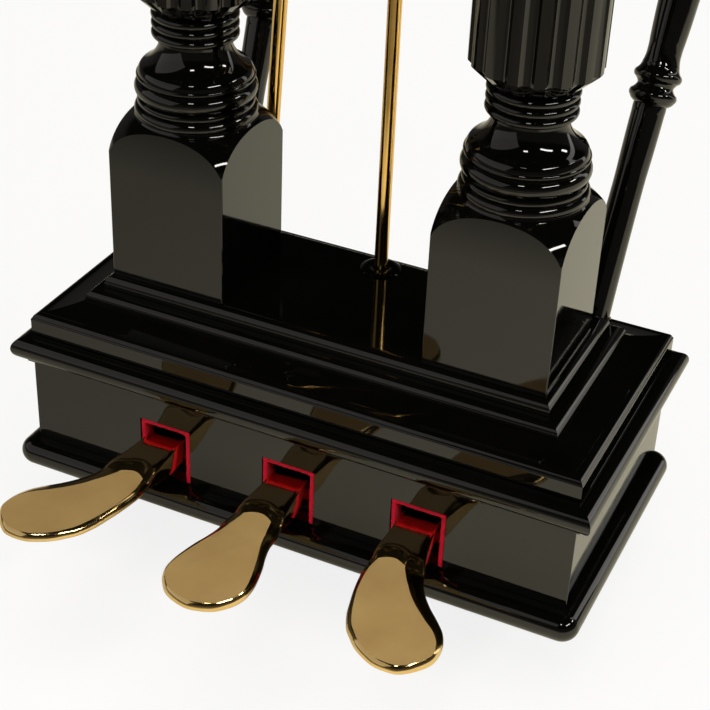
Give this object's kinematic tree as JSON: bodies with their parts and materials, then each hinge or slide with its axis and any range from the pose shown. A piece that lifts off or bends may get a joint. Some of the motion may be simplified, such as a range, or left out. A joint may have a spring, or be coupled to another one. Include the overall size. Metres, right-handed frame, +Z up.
{
  "type": "grand piano pedal lyre",
  "caption": "Black lacquered pedal lyre: turned posts under a top block carry a moulded box of brass pedals that lift rods, held by leaning turned braces.",
  "frame": {"origin": "centre of the top block's upper face, which meets the underside of the keybed", "axes": "+Z up, out of the top block's face into the keybed; +X to the player's right; -Y towards the player, the way the pedals point"},
  "size_m": [0.3564, 0.4725, 0.55],
  "materials": {
    "black_lacquer": "polished black lacquer, mirror gloss",
    "polished_brass": "polished, satin on the treads",
    "red_felt": "pressed wool felt",
    "black_leather": "matt",
    "bright_steel": "bright"
  },
  "bodies": {
    "lyre_frame": {"back_board": "black_lacquer", "base_board": "black_lacquer", "brace_left": "black_lacquer", "brace_plate_left": "polished_brass", "brace_plate_right": "polished_brass", "brace_right": "black_lacquer", "brace_seat_left": "black_lacquer", "brace_seat_right": "black_lacquer", "cornice_back": "black_lacquer", "cornice_front": "black_lacquer", "cornice_left": "black_lacquer", "cornice_right": "black_lacquer", "deck_board": "black_lacquer", "front_board": "black_lacquer", "limit_felt": "red_felt", "lower_bush_left": "polished_brass", "lower_bush_middle": "polished_brass", "lower_bush_right": "polished_brass", "mounting_bolt_back_left": "polished_brass", "mounting_bolt_back_right": "polished_brass", "mounting_bolt_front_left": "polished_brass", "mounting_bolt_front_right": "polished_brass", "nose_moulding_back": "black_lacquer", "nose_moulding_front": "black_lacquer", "nose_moulding_left": "black_lacquer", "nose_moulding_right": "black_lacquer", "pivot_bracket_left": "bright_steel", "pivot_bracket_middle": "bright_steel", "pivot_bracket_right": "bright_steel", "pivot_pin_left": "bright_steel", "pivot_pin_middle": "bright_steel", "pivot_pin_right": "bright_steel", "platform_board": "black_lacquer", "platform_step": "black_lacquer", "post_left": "black_lacquer", "post_right": "black_lacquer", "rest_felt": "red_felt", "return_spring_left": "bright_steel", "return_spring_middle": "bright_steel", "return_spring_right": "bright_steel", "rod_rosette": "black_lacquer", "side_board_left": "black_lacquer", "side_board_right": "black_lacquer", "slot_felt_left": "red_felt", "slot_felt_middle": "red_felt", "slot_felt_right": "red_felt", "top_block": "black_lacquer", "top_bush_left": "polished_brass", "top_bush_middle": "polished_brass", "top_bush_right": "polished_brass"},
    "pedal_left": {"pedal_left": "polished_brass"},
    "rod_left": {"rod_left": "polished_brass", "rod_button_left": "black_leather"},
    "pedal_middle": {"pedal_middle": "polished_brass"},
    "rod_middle": {"rod_middle": "polished_brass", "rod_button_middle": "black_leather"},
    "pedal_right": {"pedal_right": "polished_brass"},
    "rod_right": {"rod_right": "polished_brass", "rod_button_right": "black_leather"}
  },
  "joints": [
    {"name": "pedal_left_press", "type": "hinge", "parent": "lyre_frame", "child": "pedal_left", "pos_m": [-0.08, -0.03, -0.5145], "axis": [1, 0, 0], "range_deg": [0, 7], "stiffness_Nm_per_rad": 8, "springref_deg": -12.03, "deforming": ["return_spring_left"]},
    {"name": "pedal_middle_press", "type": "hinge", "parent": "lyre_frame", "child": "pedal_middle", "pos_m": [0, -0.03, -0.5145], "axis": [1, 0, 0], "range_deg": [0, 7], "stiffness_Nm_per_rad": 8, "springref_deg": -12.03, "deforming": ["return_spring_middle"]},
    {"name": "pedal_right_press", "type": "hinge", "parent": "lyre_frame", "child": "pedal_right", "pos_m": [0.08, -0.03, -0.5145], "axis": [1, 0, 0], "range_deg": [0, 7], "stiffness_Nm_per_rad": 8, "springref_deg": -12.03, "deforming": ["return_spring_right"]},
    {"name": "rod_left_lift", "type": "slide", "parent": "lyre_frame", "child": "rod_left", "axis": [0.0538, 0, 0.9985], "range_m": [0, 0.0081]},
    {"name": "rod_middle_lift", "type": "slide", "parent": "lyre_frame", "child": "rod_middle", "axis": [0, 0, 1], "range_m": [0, 0.0081]},
    {"name": "rod_right_lift", "type": "slide", "parent": "lyre_frame", "child": "rod_right", "axis": [-0.0538, 0, 0.9985], "range_m": [0, 0.0081]}
  ],
  "couplings": [
    {"joint": "rod_left_lift", "follows": "pedal_left_press", "m_per_rad": 0.0656},
    {"joint": "rod_middle_lift", "follows": "pedal_middle_press", "m_per_rad": 0.0656},
    {"joint": "rod_right_lift", "follows": "pedal_right_press", "m_per_rad": 0.0656}
  ]
}
